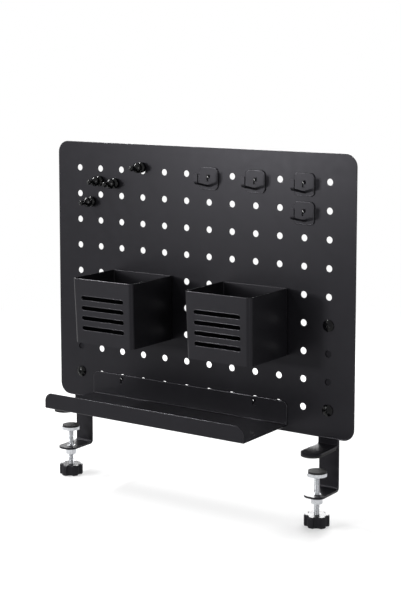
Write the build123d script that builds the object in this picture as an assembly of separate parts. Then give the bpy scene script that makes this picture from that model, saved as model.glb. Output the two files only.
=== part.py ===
from build123d import *
from math import radians, sqrt, tan
import os

# Clamp-on perforated steel desk board with hang-on cups, tray, hooks and magnetic pins.
# Millimetres. +X runs along the desk edge to the right, +Y away from the user, +Z up.
# The origin is on the desk top, mid width, in the plane of the board's front face.

# ---------------------------------------------------------------- clearances
seat_gap = 0.3            # between a hung or held piece and what carries it
running_gap = 0.05        # radial, between a shaft and its hole
overcut = 1.0             # how far a cutter runs past the face that it opens

# ---------------------------------------------------------------- board
board_width = 524.0
board_height = 400.0
board_thickness = 1.5
board_corner_radius = 18.0
board_lift = 14.5         # desk top to the board's lower edge
board_edge_rounding = 0.4
hole_pitch = 40.0
hole_columns = 12
hole_rows = 9
hole_diameter = 10.0

# ---------------------------------------------------------------- sheet tongues
tongue_thickness = 1.5    # same sheet as the plate that it is punched from
tongue_width = 5.0
tongue_slope = 50.0       # degrees below level, through the board
tongue_bend = 0.5         # inner bend radius
tongue_hold = 3.6         # depth of the tongue's tip below its seat, behind the board
tongue_relief = 0.5       # punched gap beside the tongue
tongue_slot_length = 10.0

# ---------------------------------------------------------------- hooks
hook_places = [(7, 1), (9, 1), (11, 1), (11, 2)]      # column, row, counted from top left
hook_plate_width = 33.0
hook_plate_height = 32.5
hook_plate_above_hole = 11.0
hook_corner_radius = 6.5
hook_edge_rounding = 0.5
arm_width = 6.0
arm_thickness = 2.5
arm_root_below_hole = 17.3     # underside of the arm where it leaves the plate
arm_front_below_hole = 10.5    # underside of the arm at its front bend
arm_reach = 34.5
arm_tip_above_hole = 4.5
arm_bend = 2.0

# ---------------------------------------------------------------- cups
cup_columns = [4, 9]
cup_row = 5
cup_width = 110.0
cup_depth = 101.0
cup_height = 96.0
cup_rim_above_hole = 6.5
cup_front_narrowing = 2.0      # each side, at the bottom of the front
cup_front_draft = 4.0          # front wall's lean towards the board
cup_front_corner = 7.0
cup_back_corner = 4.0
cup_wall = 2.0
cup_rim_rounding = 0.6
cup_least_corner = 0.6         # inside corners of a thick wall
cup_slot_count = 4
cup_slot_pitch = 15.0
cup_slot_length = 77.0
cup_slot_height = 6.0
cup_first_slot_below_rim = 28.0
cup_tongue_spread = 80.0
cup_tongue_thickness = 3.0
cup_tongue_leg = 2.6

# ---------------------------------------------------------------- tray
tray_centre_column = 6
tray_row = 9
tray_length = 350.0
tray_depth = 118.0
tray_sheet = 1.5
tray_bend = 1.0
tray_floor_below_hole = 31.5   # underside of the floor
tray_flange_above_hole = 4.0
tray_lip_height = 23.5
tray_flange_corner = 9.0
tray_lip_corner = 12.0
tray_tongue_spread = 240.0
tray_edge_rounding = 0.4

# ---------------------------------------------------------------- magnetic pins
pin_places = [(-181.0, 141.0), (-151.5, 139.0), (-196.5, 108.5), (-101.0, 165.3)]
pin_length = 30.0
pin_base_radius = 8.0
pin_base_height = 4.5
pin_waist_radius = 5.2
pin_waist_height = 7.0
pin_bulge_radius = 7.3
pin_bulge_height = 13.0
pin_bulge_start = (1, 0.4)     # the bulge's outline leaves the waist in this direction
pin_bulge_end = (-0.15, 1)     # and meets the neck in this one
pin_neck_radius = 2.8
pin_neck_height = 21.5
pin_ball_radius = 4.0
pin_edge_rounding = 1.2
pin_magnet_radius = 6.0
pin_magnet_height = 3.0

# ---------------------------------------------------------------- clamps
clamp_columns = [1, 12]
clamp_bolt_rows = [6, 9]
strap_width = 31.0
strap_thickness = 3.0
strap_bend = 2.0
strap_end_above_bolt = 15.0
strap_corner_radius = 6.0
strap_edge_rounding = 0.5
foot_pad_thickness = 2.5
foot_reach = 58.0
foot_pad_back = 2.0            # the pad's rear edge, in front of the board
jaw_depth = 58.0               # desk top to the jaw's upper face
jaw_reach = 46.0
jaw_bend = 3.0
jaw_end_above_bolt = 15.0
jaw_front_corner = 12.0
rivet_diameter = 5.0
rivet_spread = 16.0            # between the two rivets, side by side below the lower bolt
rivet_head_diameter = 9.0
rivet_head_height = 1.8

screw_reach = 28.0             # screw axis in front of the board
screw_diameter = 8.0
desk_thickness = 25.0          # what the pads are set to
pad_travel_up = 15.0
pad_rubber_thickness = 2.5
pad_rubber_diameter = 26.0
pad_plate_diameter = 28.0
pad_plate_thickness = 4.5
pad_recess_diameter = 11.0
pad_recess_depth = 2.0
journal_diameter = 6.0
journal_head_diameter = 9.0
bush_diameter = 16.0
bush_height = 10.0
bush_spigot_diameter = 12.0
knob_diameter = 36.0
knob_height = 16.0
knob_lobes = 6
knob_flute_radius = 6.0
knob_flute_bite = 3.5
knob_bore_depth = 13.0
knob_gap = 1.5                 # knob to bush with the pad fully up
knob_edge_rounding = 2.0

# ---------------------------------------------------------------- bolts
bolt_diameter = 8.0
bolt_length = 16.0             # under the head
bolt_head_diameter = 17.0
bolt_head_height = 4.4
bolt_head_rim = 1.2
bolt_clearance_hole = 8.5
recess_width = 1.6
recess_span = 7.5
recess_depth = 2.4
washer_diameter = 16.0
washer_thickness = 1.6
nut_across_flats = 13.0
nut_height = 6.5

# ---------------------------------------------------------------- places
board_centre_z = board_lift + board_height / 2
board_back = board_thickness
strap_back = board_back + strap_thickness
jaw_back = strap_back + strap_thickness
foot_top = foot_pad_thickness + strap_thickness
hole_radius = hole_diameter / 2
bolt_radius = bolt_diameter / 2
screw_radius = screw_diameter / 2
pad_top = -desk_thickness
pad_plate_top = pad_top - pad_rubber_thickness
pad_plate_bottom = pad_plate_top - pad_plate_thickness
jaw_top = -jaw_depth
jaw_bottom = jaw_top - strap_thickness
bush_bottom = jaw_bottom - bush_height
knob_top = bush_bottom - pad_travel_up - knob_gap


def column_x(column):
    return (column - (hole_columns + 1) / 2) * hole_pitch


def row_z(row):
    return board_centre_z + ((hole_rows + 1) / 2 - row) * hole_pitch


def front_plane(y):
    """Sketch plane facing the user: sketch X is +X and sketch Y is +Z."""
    return Plane(origin=(0, y, 0), x_dir=(1, 0, 0), z_dir=(0, -1, 0))


def side_plane(x):
    """Sketch plane across the board: sketch X is +Y and sketch Y is +Z."""
    return Plane(origin=(x, 0, 0), x_dir=(0, 1, 0), z_dir=(1, 0, 0))


def block(x_range, y_range, z_range):
    sizes = [high - low for low, high in (x_range, y_range, z_range)]
    middle = [(high + low) / 2 for low, high in (x_range, y_range, z_range)]
    return Pos(*middle) * Box(*sizes)


def post(x, y, bottom, top, radius):
    """Upright round bar."""
    return Pos(x, y, (bottom + top) / 2) * Cylinder(radius, top - bottom)


def stud(x, z, front, back, radius):
    """Round bar lying along Y."""
    return Pos(x, (front + back) / 2, z) * Rot(90, 0, 0) * Cylinder(radius, back - front)


def strip_face(path, thickness, bend):
    """Face of a bent strip: one side follows the path, the other lies to its left."""
    points = [Vector(*point) for point in path]
    steps = [(b - a).normalized() for a, b in zip(points, points[1:])]
    normals = [Vector(-step.Y, step.X) for step in steps]
    left = [points[0] + normals[0] * thickness]
    path_radii = []
    left_radii = []
    for i in range(1, len(points) - 1):
        before, after = normals[i - 1], normals[i]
        left.append(points[i] + (before + after) * (thickness / (1 + before.dot(after))))
        turns_left = steps[i - 1].X * steps[i].Y > steps[i - 1].Y * steps[i].X
        path_radii.append(bend + thickness if turns_left else bend)
        left_radii.append(bend if turns_left else bend + thickness)
    left.append(points[-1] + normals[-1] * thickness)
    outline = FilletPolyline(*points, radius=path_radii) + Line(points[-1], left[-1])
    outline += FilletPolyline(*left, radius=left_radii) + Line(left[0], points[0])
    return make_face(outline)


def round_sheet_edges(strip, sheet, radius):
    """Round a bent strip's outline on both sides of the sheet."""
    flanks = strip.faces().filter_by(GeomType.PLANE).filter_by(Axis.X)
    edges = []
    for edge in [edge for face in flanks for edge in face.edges()]:
        across_sheet = edge.geom_type == GeomType.LINE and edge.length < sheet + seat_gap
        if not across_sheet:
            edges.append(edge)
    return fillet(edges, radius)


def hole_seat(width):
    """Depth below a hole's centre at which a flat tongue of this width sits in the hole."""
    return sqrt(hole_radius**2 - (width / 2) ** 2) - seat_gap


def with_sheet_tongue(plate, x, hole_z, sheet):
    """Punch the window and bend the tongue back through the hole and down behind the board."""
    seat = hole_z - hole_seat(tongue_width)
    rise = tan(radians(tongue_slope))
    front = -seat_gap - sheet
    behind = board_back + seat_gap
    bend_z = seat + (board_back - front) * rise
    turn = radians(90 - tongue_slope)
    window_top = bend_z + (tongue_bend + sheet) * tan(turn / 2)
    window_bottom = window_top - tongue_slot_length
    half_window = tongue_width / 2 + tongue_relief
    window = block(
        (x - half_window, x + half_window),
        (front - sheet, -seat_gap + sheet),
        (window_bottom, window_top),
    )
    path = [
        (front, window_top + sheet),
        (front, bend_z),
        (behind, seat - seat_gap * rise),
        (behind, seat - tongue_hold),
    ]
    tongue = extrude(side_plane(x) * strip_face(path, sheet, tongue_bend), tongue_width / 2, both=True)
    return plate - window + tongue


def make_board():
    outline = Pos(0, board_centre_z) * RectangleRounded(board_width, board_height, board_corner_radius)
    plate = extrude(front_plane(0) * outline, -board_thickness)
    plate = fillet(plate.edges().filter_by(Plane.XZ), board_edge_rounding)
    holes = []
    for column in range(1, hole_columns + 1):
        for row in range(1, hole_rows + 1):
            holes.append(Pos(column_x(column), row_z(row)) * Circle(hole_radius))
    return plate - extrude(front_plane(0) * Sketch(children=holes), -board_thickness)


def make_hook_plate(x, hole_z):
    middle = hole_z + hook_plate_above_hole - hook_plate_height / 2
    outline = Pos(x, middle) * RectangleRounded(hook_plate_width, hook_plate_height, hook_corner_radius)
    plate = extrude(front_plane(-seat_gap) * outline, tongue_thickness)
    front_edges = plate.edges().filter_by(Plane.XZ).group_by(Axis.Y)[0]
    plate = fillet(front_edges, hook_edge_rounding)
    return with_sheet_tongue(plate, x, hole_z, tongue_thickness)


def make_hook_arm(x, hole_z):
    root_y = -seat_gap - tongue_thickness
    slope = (arm_root_below_hole - arm_front_below_hole) / (arm_reach + root_y)
    path = [
        (-arm_reach, hole_z + arm_tip_above_hole),
        (-arm_reach, hole_z - arm_front_below_hole),
        (root_y, hole_z - arm_front_below_hole - slope * (arm_reach + root_y)),
    ]
    arm = extrude(side_plane(x) * strip_face(path, arm_thickness, arm_bend), arm_width / 2, both=True)
    across = (x - arm_width, x + arm_width)
    before_plate = (-arm_reach - overcut, root_y)
    around_hole = (hole_z - hole_pitch, hole_z + hole_pitch)
    return arm & block(across, before_plate, around_hole)


def cup_section(half_back, half_front, back, front, back_corner, front_corner, z):
    corners = [(-half_back, back), (-half_front, front), (half_front, front), (half_back, back)]
    face = make_face(Polyline(*corners, close=True))
    front_points = [v for v in face.vertices() if v.Y < (front + back) / 2]
    face = fillet(front_points, front_corner)
    back_points = [v for v in face.vertices() if v.Y > back - back_corner / 10]
    return Pos(0, 0, z) * fillet(back_points, back_corner)


def cup_shell(inset, floor):
    """Solid between the rim and the floor, pulled in from the outer walls by the inset."""
    rim = row_z(cup_row) + cup_rim_above_hole
    half = cup_width / 2 - inset
    back = -seat_gap - inset
    front = -cup_depth + inset
    corners = [max(corner - inset, cup_least_corner) for corner in (cup_back_corner, cup_front_corner)]
    top = cup_section(half, half, back, front, *corners, rim)
    bottom = cup_section(
        half, half - cup_front_narrowing, back, front + cup_front_draft, *corners, rim - cup_height + floor
    )
    return loft([top, bottom], ruled=True)


def make_cup(column):
    rim = row_z(cup_row) + cup_rim_above_hole
    cup = cup_shell(0, 0) - cup_shell(cup_wall, cup_wall)
    cup = fillet(cup.faces().sort_by(Axis.Z)[-1].edges(), cup_rim_rounding)
    slot = SlotOverall(cup_slot_length, cup_slot_height)
    first_slot = rim - cup_first_slot_below_rim
    slots = [Pos(0, first_slot - i * cup_slot_pitch) * slot for i in range(cup_slot_count)]
    cup = cup - extrude(front_plane(-cup_depth / 2) * Sketch(children=slots), cup_depth)
    seat = row_z(cup_row) - hole_seat(tongue_width)
    behind = board_back + seat_gap
    for x in (-cup_tongue_spread / 2, cup_tongue_spread / 2):
        across = (x - tongue_width / 2, x + tongue_width / 2)
        level = block(across, (-seat_gap, behind + cup_tongue_leg), (seat, seat + cup_tongue_thickness))
        leg = block(across, (behind, behind + cup_tongue_leg), (seat - tongue_hold, seat))
        cup = cup + level + leg
    return Pos(column_x(column), 0, 0) * cup


def make_tray():
    x = column_x(tray_centre_column)
    hole_z = row_z(tray_row)
    bottom = hole_z - tray_floor_below_hole
    lip_top = bottom + tray_lip_height
    flange_top = hole_z + tray_flange_above_hole
    path = [(-tray_depth, lip_top), (-tray_depth, bottom), (-seat_gap, bottom), (-seat_gap, flange_top)]
    tray = extrude(side_plane(x) * strip_face(path, tray_sheet, tray_bend), tray_length / 2, both=True)
    for level, radius in ((lip_top, tray_lip_corner), (flange_top, tray_flange_corner)):
        across_sheet = [edge for edge in tray.edges().filter_by(Axis.Y) if edge.length < 2 * tray_sheet]
        tray = fillet([edge for edge in across_sheet if abs(edge.center().Z - level) < tray_sheet], radius)
    tray = round_sheet_edges(tray, tray_sheet, tray_edge_rounding)
    for side in (-1, 1):
        tray = with_sheet_tongue(tray, x + side * tray_tongue_spread / 2, hole_z, tray_sheet)
    return tray


def make_pin(x, z):
    """Turned pin: base, waist, rounded bulge, neck and ball, hollow under its base for the magnet."""
    outline = Polyline((0, 0), (pin_base_radius, 0), (pin_base_radius, pin_base_height))
    outline += Line((pin_base_radius, pin_base_height), (pin_waist_radius, pin_waist_height))
    outline += Spline(
        (pin_waist_radius, pin_waist_height),
        (pin_bulge_radius, pin_bulge_height),
        (pin_neck_radius, pin_neck_height),
        tangents=[pin_bulge_start, pin_bulge_end],
    )
    ball_middle = pin_length - pin_ball_radius
    outline += Line((pin_neck_radius, pin_neck_height), (pin_neck_radius, ball_middle))
    outline += Polyline((pin_neck_radius, ball_middle), (0, ball_middle), (0, 0))
    stem = revolve(Plane.XZ * make_face(outline), Axis.Z)
    stem = fillet(stem.edges().filter_by(GeomType.CIRCLE).group_by(Axis.Z)[1], pin_edge_rounding)
    pin = stem + Pos(0, 0, ball_middle) * Sphere(pin_ball_radius)
    pin = pin - post(0, 0, 0, pin_magnet_height + running_gap, pin_magnet_radius + running_gap)
    return Pos(x, -seat_gap, board_centre_z + z) * Rot(90, 0, 0) * pin


def make_pin_magnet(x, z):
    return stud(x, board_centre_z + z, -seat_gap - pin_magnet_height, -seat_gap, pin_magnet_radius)


def rivet_places(x):
    """Each rivet's x and z on one clamp, halfway from the foot to the lower bolt."""
    z = (foot_top + row_z(clamp_bolt_rows[-1])) / 2
    return [(x + side * rivet_spread / 2, z) for side in (-1, 1)]


def cut_rivet_holes(strap, x):
    for rivet_x, rivet_z in rivet_places(x):
        strap = strap - stud(rivet_x, rivet_z, 0, jaw_back + overcut, rivet_diameter / 2 + running_gap)
    return strap


def strap_plan(x, reach, corner):
    """Plan outline of a forward-reaching strap, its front corners rounded."""
    rear = jaw_back + strap_bend
    outline = Pos(x, (rear - reach) / 2) * Rectangle(strap_width, rear + reach)
    front_points = outline.vertices().group_by(Axis.Y)[0]
    return fillet(front_points, corner)


def make_strap(path, x, bend):
    return extrude(side_plane(x) * strip_face(path, strap_thickness, bend), strap_width / 2, both=True)


def round_upper_corners(strap):
    across = [edge for edge in strap.edges().filter_by(Axis.Y) if edge.length < 2 * strap_thickness]
    top = max(edge.center().Z for edge in across)
    return fillet([edge for edge in across if edge.center().Z > top - strap_thickness], strap_corner_radius)


def make_bracket(x):
    """Bolted behind the board and bent forward under it as a foot."""
    path = [
        (board_back, row_z(clamp_bolt_rows[0]) + strap_end_above_bolt),
        (board_back, foot_top),
        (-foot_reach, foot_top),
    ]
    strap = round_upper_corners(make_strap(path, x, strap_bend))
    nose = (strap_width - strap_thickness / 2) / 2
    strap = strap & extrude(Plane.XY.offset(-foot_top) * strap_plan(x, foot_reach, nose), 2 * board_height)
    strap = round_sheet_edges(strap, strap_thickness, strap_edge_rounding)
    for row in clamp_bolt_rows:
        strap = strap - stud(x, row_z(row), 0, jaw_back, bolt_clearance_hole / 2)
    return cut_rivet_holes(strap, x)


def make_foot_pad(x):
    nose = (strap_width - strap_thickness / 2) / 2
    pad = extrude(Plane.XY * strap_plan(x, foot_reach, nose), foot_pad_thickness)
    return pad & block((x - strap_width, x + strap_width), (-2 * foot_reach, -foot_pad_back), (0, foot_top))


def make_jaw(x):
    """Riveted behind the bracket, down behind the desk's edge and forward under the desk."""
    path = [
        (strap_back, row_z(clamp_bolt_rows[-1]) + jaw_end_above_bolt),
        (strap_back, jaw_top),
        (-jaw_reach, jaw_top),
    ]
    jaw = round_upper_corners(make_strap(path, x, jaw_bend))
    plan = Plane.XY.offset(jaw_bottom - overcut) * strap_plan(x, jaw_reach, jaw_front_corner)
    jaw = round_sheet_edges(jaw & extrude(plan, board_height), strap_thickness, strap_edge_rounding)
    jaw = jaw - stud(x, row_z(clamp_bolt_rows[-1]), 0, jaw_back + overcut, bolt_clearance_hole / 2)
    spigot_radius = bush_spigot_diameter / 2 + running_gap
    jaw = jaw - post(x, -screw_reach, jaw_bottom - overcut, jaw_top + overcut, spigot_radius)
    return cut_rivet_holes(jaw, x)


def make_bush(x):
    """Threaded bush pressed into the jaw; the thread is a plain bore."""
    bush = post(x, -screw_reach, bush_bottom, jaw_bottom, bush_diameter / 2)
    bush = bush + post(x, -screw_reach, jaw_bottom, jaw_top, bush_spigot_diameter / 2)
    return bush - post(x, -screw_reach, bush_bottom - overcut, jaw_top + overcut, screw_radius + running_gap)


def make_screw(x):
    """Clamp screw with a journal and a headed-over end that carries the swivel pad."""
    journal = journal_diameter / 2
    web_top = pad_plate_top - pad_recess_depth
    shoulder = pad_plate_bottom - seat_gap
    screw = post(x, -screw_reach, knob_top - knob_bore_depth + seat_gap, shoulder, screw_radius)
    screw = screw + post(x, -screw_reach, shoulder, pad_plate_top - seat_gap, journal)
    head = post(x, -screw_reach, web_top + seat_gap, pad_plate_top - seat_gap, journal_head_diameter / 2)
    return screw + head


def make_knob(x):
    middle = knob_top - knob_height / 2
    knob = Cylinder(knob_diameter / 2, knob_height)
    flute_ring = knob_diameter / 2 + knob_flute_radius - knob_flute_bite
    flutes = PolarLocations(flute_ring, knob_lobes)
    knob = knob - flutes * Cylinder(knob_flute_radius, 2 * knob_height)
    knob = fillet(knob.faces().sort_by(Axis.Z)[-1].edges(), knob_edge_rounding)
    knob = fillet(knob.faces().sort_by(Axis.Z)[0].edges(), knob_edge_rounding)
    knob = Pos(x, -screw_reach, middle) * knob
    bore = post(x, -screw_reach, knob_top - knob_bore_depth, knob_top + overcut, screw_radius + running_gap)
    return knob - bore


def make_pad_plate(x):
    plate = post(x, -screw_reach, pad_plate_bottom, pad_plate_top, pad_plate_diameter / 2)
    web_top = pad_plate_top - pad_recess_depth
    plate = plate - post(x, -screw_reach, web_top, pad_plate_top + overcut, pad_recess_diameter / 2)
    journal_hole = journal_diameter / 2 + running_gap
    return plate - post(x, -screw_reach, pad_plate_bottom - overcut, web_top + overcut, journal_hole)


def make_pad_rubber(x):
    return post(x, -screw_reach, pad_plate_top, pad_top, pad_rubber_diameter / 2)


def bolt_places():
    """Each bolt's x and z, and the back face of what it clamps."""
    places = []
    for column in clamp_columns:
        for row in clamp_bolt_rows:
            back = jaw_back if row == clamp_bolt_rows[-1] else strap_back
            places.append((column_x(column), row_z(row), back))
    return places


def make_bolt():
    """Domed head in front of the board with a cross recess, shank to the rear."""
    rim = Pos(0, 0, bolt_head_rim / 2) * Cylinder(bolt_head_diameter / 2, bolt_head_rim)
    rise = bolt_head_height - bolt_head_rim
    dome_radius = ((bolt_head_diameter / 2) ** 2 + rise**2) / (2 * rise)
    dome = Pos(0, 0, bolt_head_height - dome_radius) * Sphere(dome_radius)
    cap = Pos(0, 0, bolt_head_rim + rise / 2) * Cylinder(bolt_head_diameter / 2, rise)
    head = rim + (dome & cap)
    slot = Box(recess_span, recess_width, recess_depth) + Box(recess_width, recess_span, recess_depth)
    head = head - Pos(0, 0, bolt_head_height - recess_depth / 2) * slot
    shank = Pos(0, 0, -bolt_length / 2) * Cylinder(bolt_radius, bolt_length)
    return Rot(90, 0, 0) * (head + shank)


def make_washer(back):
    ring = Circle(washer_diameter / 2) - Circle(bolt_clearance_hole / 2)
    return extrude(front_plane(back) * ring, -washer_thickness)


def make_nut(back):
    hexagon = RegularPolygon(nut_across_flats / sqrt(3), 6) - Circle(bolt_radius + running_gap)
    return extrude(front_plane(back + washer_thickness) * hexagon, -nut_height)


def make_rivet(x, z):
    """Flush with the bracket's front face, domed behind the jaw."""
    head_radius = rivet_head_diameter / 2
    dome_radius = (head_radius**2 + rivet_head_height**2) / (2 * rivet_head_height)
    dome = Pos(x, jaw_back + rivet_head_height - dome_radius, z) * Sphere(dome_radius)
    head = dome & stud(x, z, jaw_back, jaw_back + rivet_head_height, head_radius)
    return stud(x, z, board_back, jaw_back, rivet_diameter / 2) + head


def save(shape, node):
    export_step(shape, f"parts/{node}.step")


os.makedirs("parts", exist_ok=True)
save(make_board(), "board")
for number, (column, row) in enumerate(hook_places, 1):
    save(make_hook_plate(column_x(column), row_z(row)), f"hook_{number}_plate")
    save(make_hook_arm(column_x(column), row_z(row)), f"hook_{number}_arm")
for side, column in zip(("left", "right"), cup_columns):
    save(make_cup(column), f"{side}_cup")
save(make_tray(), "tray")
for number, place in enumerate(pin_places, 1):
    save(make_pin(*place), f"pin_{number}_grip")
    save(make_pin_magnet(*place), f"pin_{number}_magnet")
for side, column in zip(("left", "right"), clamp_columns):
    x = column_x(column)
    save(make_bracket(x), f"{side}_bracket")
    save(make_foot_pad(x), f"{side}_foot_pad")
    save(make_jaw(x), f"{side}_jaw")
    save(make_bush(x), f"{side}_bush")
    save(make_screw(x), f"{side}_clamp_screw")
    save(make_knob(x), f"{side}_knob")
    save(make_pad_plate(x), f"{side}_pad_plate")
    save(make_pad_rubber(x), f"{side}_pad_rubber")
save(Compound(children=[Pos(x, 0, z) * make_bolt() for x, z, back in bolt_places()]), "bolts")
save(Compound(children=[Pos(x, 0, z) * make_washer(back) for x, z, back in bolt_places()]), "washers")
save(Compound(children=[Pos(x, 0, z) * make_nut(back) for x, z, back in bolt_places()]), "nuts")
rivets = [make_rivet(*place) for column in clamp_columns for place in rivet_places(column_x(column))]
save(Compound(children=rivets), "rivets")
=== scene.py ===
"""Finishes and small details of a clamp-on pegboard desk organizer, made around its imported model."""

import math

import bpy
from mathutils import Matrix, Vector


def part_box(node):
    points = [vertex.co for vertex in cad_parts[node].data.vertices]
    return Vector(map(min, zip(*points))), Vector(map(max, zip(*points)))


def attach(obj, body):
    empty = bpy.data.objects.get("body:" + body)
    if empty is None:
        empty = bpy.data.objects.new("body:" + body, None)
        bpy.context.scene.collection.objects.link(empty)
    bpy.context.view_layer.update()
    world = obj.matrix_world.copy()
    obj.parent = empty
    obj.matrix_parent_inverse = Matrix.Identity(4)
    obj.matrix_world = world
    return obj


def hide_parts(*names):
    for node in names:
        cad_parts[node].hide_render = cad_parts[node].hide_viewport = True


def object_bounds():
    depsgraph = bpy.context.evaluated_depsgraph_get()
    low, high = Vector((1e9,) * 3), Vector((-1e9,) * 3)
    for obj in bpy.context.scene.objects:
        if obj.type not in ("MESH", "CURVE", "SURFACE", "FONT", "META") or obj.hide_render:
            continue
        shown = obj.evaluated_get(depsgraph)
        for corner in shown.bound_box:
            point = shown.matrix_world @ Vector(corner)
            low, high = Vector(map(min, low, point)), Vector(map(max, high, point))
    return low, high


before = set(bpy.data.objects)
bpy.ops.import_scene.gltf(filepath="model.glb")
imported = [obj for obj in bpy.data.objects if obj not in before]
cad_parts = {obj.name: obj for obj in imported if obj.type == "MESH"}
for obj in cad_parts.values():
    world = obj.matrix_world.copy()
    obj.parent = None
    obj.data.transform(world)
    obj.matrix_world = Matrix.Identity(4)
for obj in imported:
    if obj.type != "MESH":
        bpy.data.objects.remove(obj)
CAD_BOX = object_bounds()

bl_info = {
    "name": "Pegboard Organizer Finishes",
    "version": (1, 0, 0),
    "blender": (4, 5, 0),
    "location": "View3D > Sidebar > Pegboard",
    "description": "Hole beads, threads, welds, nuts and finishes of a clamp-on pegboard desk organizer",
    "category": "Object",
}

SIDES = ("left", "right")
HOOKS = [f"hook_{number}" for number in range(1, 5)]
PINS = [f"pin_{number}" for number in range(1, 5)]


def of_sides(*pieces):
    """The nodes that these pieces have on the left and on the right."""
    return [f"{side}_{piece}" for side in SIDES for piece in pieces]


PAINTED = ["board", "tray", *of_sides("jaw")]
PAINTED += [f"{hook}_{piece}" for hook in HOOKS for piece in ("plate", "arm")]


# ---------------------------------------------------------------- settings
class BoardSettings(bpy.types.PropertyGroup):
    columns: bpy.props.IntProperty(name="Hole columns", description="Holes along each row", default=12)
    rows: bpy.props.IntProperty(name="Hole rows", description="Holes up each column", default=9)
    pitch: bpy.props.FloatProperty(
        name="Hole pitch", description="Between hole centres, both ways", default=0.040, unit="LENGTH"
    )
    hole_radius: bpy.props.FloatProperty(
        name="Hole radius", description="Radius of every hole", default=0.005, unit="LENGTH"
    )
    bead: bpy.props.FloatProperty(
        name="Paint bead", description="Radius of the paint bead round each hole",
        default=0.0003, unit="LENGTH",
    )


class ScrewSettings(bpy.types.PropertyGroup):
    major_radius: bpy.props.FloatProperty(
        name="Major radius", description="Outside of the clamp screw's thread",
        default=0.00398, unit="LENGTH",
    )
    core_radius: bpy.props.FloatProperty(
        name="Core radius", description="Bottom of the clamp screw's thread", default=0.0034, unit="LENGTH"
    )
    lead: bpy.props.FloatProperty(
        name="Lead", description="Travel in one turn of the screw", default=0.00125, unit="LENGTH"
    )
    journal_radius: bpy.props.FloatProperty(
        name="Journal radius", description="Neck that turns in the pad plate", default=0.003, unit="LENGTH"
    )
    head_height: bpy.props.FloatProperty(
        name="Head height", description="Headed-over end above the pad plate", default=0.0014, unit="LENGTH"
    )
    journal_height: bpy.props.FloatProperty(
        name="Journal height", description="From the shoulder to the screw's top",
        default=0.0045, unit="LENGTH",
    )


class EdgeSettings(bpy.types.PropertyGroup):
    sheet: bpy.props.FloatProperty(
        name="Sheet", description="Thickness of board, tray and hook plates", default=0.0015, unit="LENGTH"
    )
    bead: bpy.props.FloatProperty(
        name="Edge bead", description="Radius of the painted edge of the sheets",
        default=0.00085, unit="LENGTH",
    )
    board_corner: bpy.props.FloatProperty(
        name="Board corner", description="Corner radius of the board", default=0.018, unit="LENGTH"
    )
    hook_corner: bpy.props.FloatProperty(
        name="Hook corner", description="Corner radius of the hook plates", default=0.0065, unit="LENGTH"
    )
    lip_height: bpy.props.FloatProperty(
        name="Lip height", description="Height of the tray's front lip", default=0.0235, unit="LENGTH"
    )
    lip_corner: bpy.props.FloatProperty(
        name="Lip corner", description="Corner radius of the tray's lip", default=0.012, unit="LENGTH"
    )
    flange_corner: bpy.props.FloatProperty(
        name="Flange corner", description="Corner radius of the tray's flange", default=0.009, unit="LENGTH"
    )
    bend: bpy.props.FloatProperty(
        name="Bend", description="Middle radius of the tray's bends", default=0.00175, unit="LENGTH"
    )
    proud: bpy.props.FloatProperty(
        name="Proud", description="How far the tray's edge stands out", default=0.0003, unit="LENGTH"
    )
    foot_thickness: bpy.props.FloatProperty(
        name="Foot thickness", description="Thickness of the strap that the feet are bent from",
        default=0.003, unit="LENGTH",
    )
    foot_bead: bpy.props.FloatProperty(
        name="Foot bead", description="Radius of the rounded edge of the feet",
        default=0.0016, unit="LENGTH",
    )


class CupSettings(bpy.types.PropertyGroup):
    wall: bpy.props.FloatProperty(
        name="Wall", description="Wall thickness of the cups", default=0.002, unit="LENGTH"
    )
    front_corner: bpy.props.FloatProperty(
        name="Front corner", description="Upright front corners of the cups", default=0.007, unit="LENGTH"
    )
    back_corner: bpy.props.FloatProperty(
        name="Back corner", description="Upright back corners of the cups", default=0.004, unit="LENGTH"
    )
    lean: bpy.props.FloatProperty(
        name="Lean", description="Slope of the front wall: 4 mm back at its foot, 96 mm down",
        default=math.atan(4 / 96),
        subtype="ANGLE",
    )
    slots: bpy.props.IntProperty(name="Slots", description="Slots across the front", default=4)
    slot_length: bpy.props.FloatProperty(
        name="Slot length", description="Length of each slot", default=0.077, unit="LENGTH"
    )
    slot_height: bpy.props.FloatProperty(
        name="Slot height", description="Height of each slot", default=0.006, unit="LENGTH"
    )
    slot_pitch: bpy.props.FloatProperty(
        name="Slot pitch", description="From one slot to the next", default=0.015, unit="LENGTH"
    )
    first_slot: bpy.props.FloatProperty(
        name="First slot", description="From the rim to the middle of the first slot",
        default=0.028, unit="LENGTH",
    )
    slot_bead: bpy.props.FloatProperty(
        name="Slot bead", description="Radius of the rounded mouth of each slot",
        default=0.0005, unit="LENGTH",
    )
    proud: bpy.props.FloatProperty(
        name="Proud", description="How far the rounded rim and mouths stand out",
        default=0.0002, unit="LENGTH",
    )


class WeldSettings(bpy.types.PropertyGroup):
    bead: bpy.props.FloatProperty(
        name="Weld bead", description="Radius of the bead round each arm's root",
        default=0.0005, unit="LENGTH",
    )
    arm_slope: bpy.props.FloatProperty(
        name="Arm slope", description="Fall of the arm towards its plate", default=math.radians(11.7),
        subtype="ANGLE",
    )
    arm_thickness: bpy.props.FloatProperty(
        name="Arm thickness", description="Thickness of the arm's strip", default=0.0025, unit="LENGTH"
    )


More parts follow.
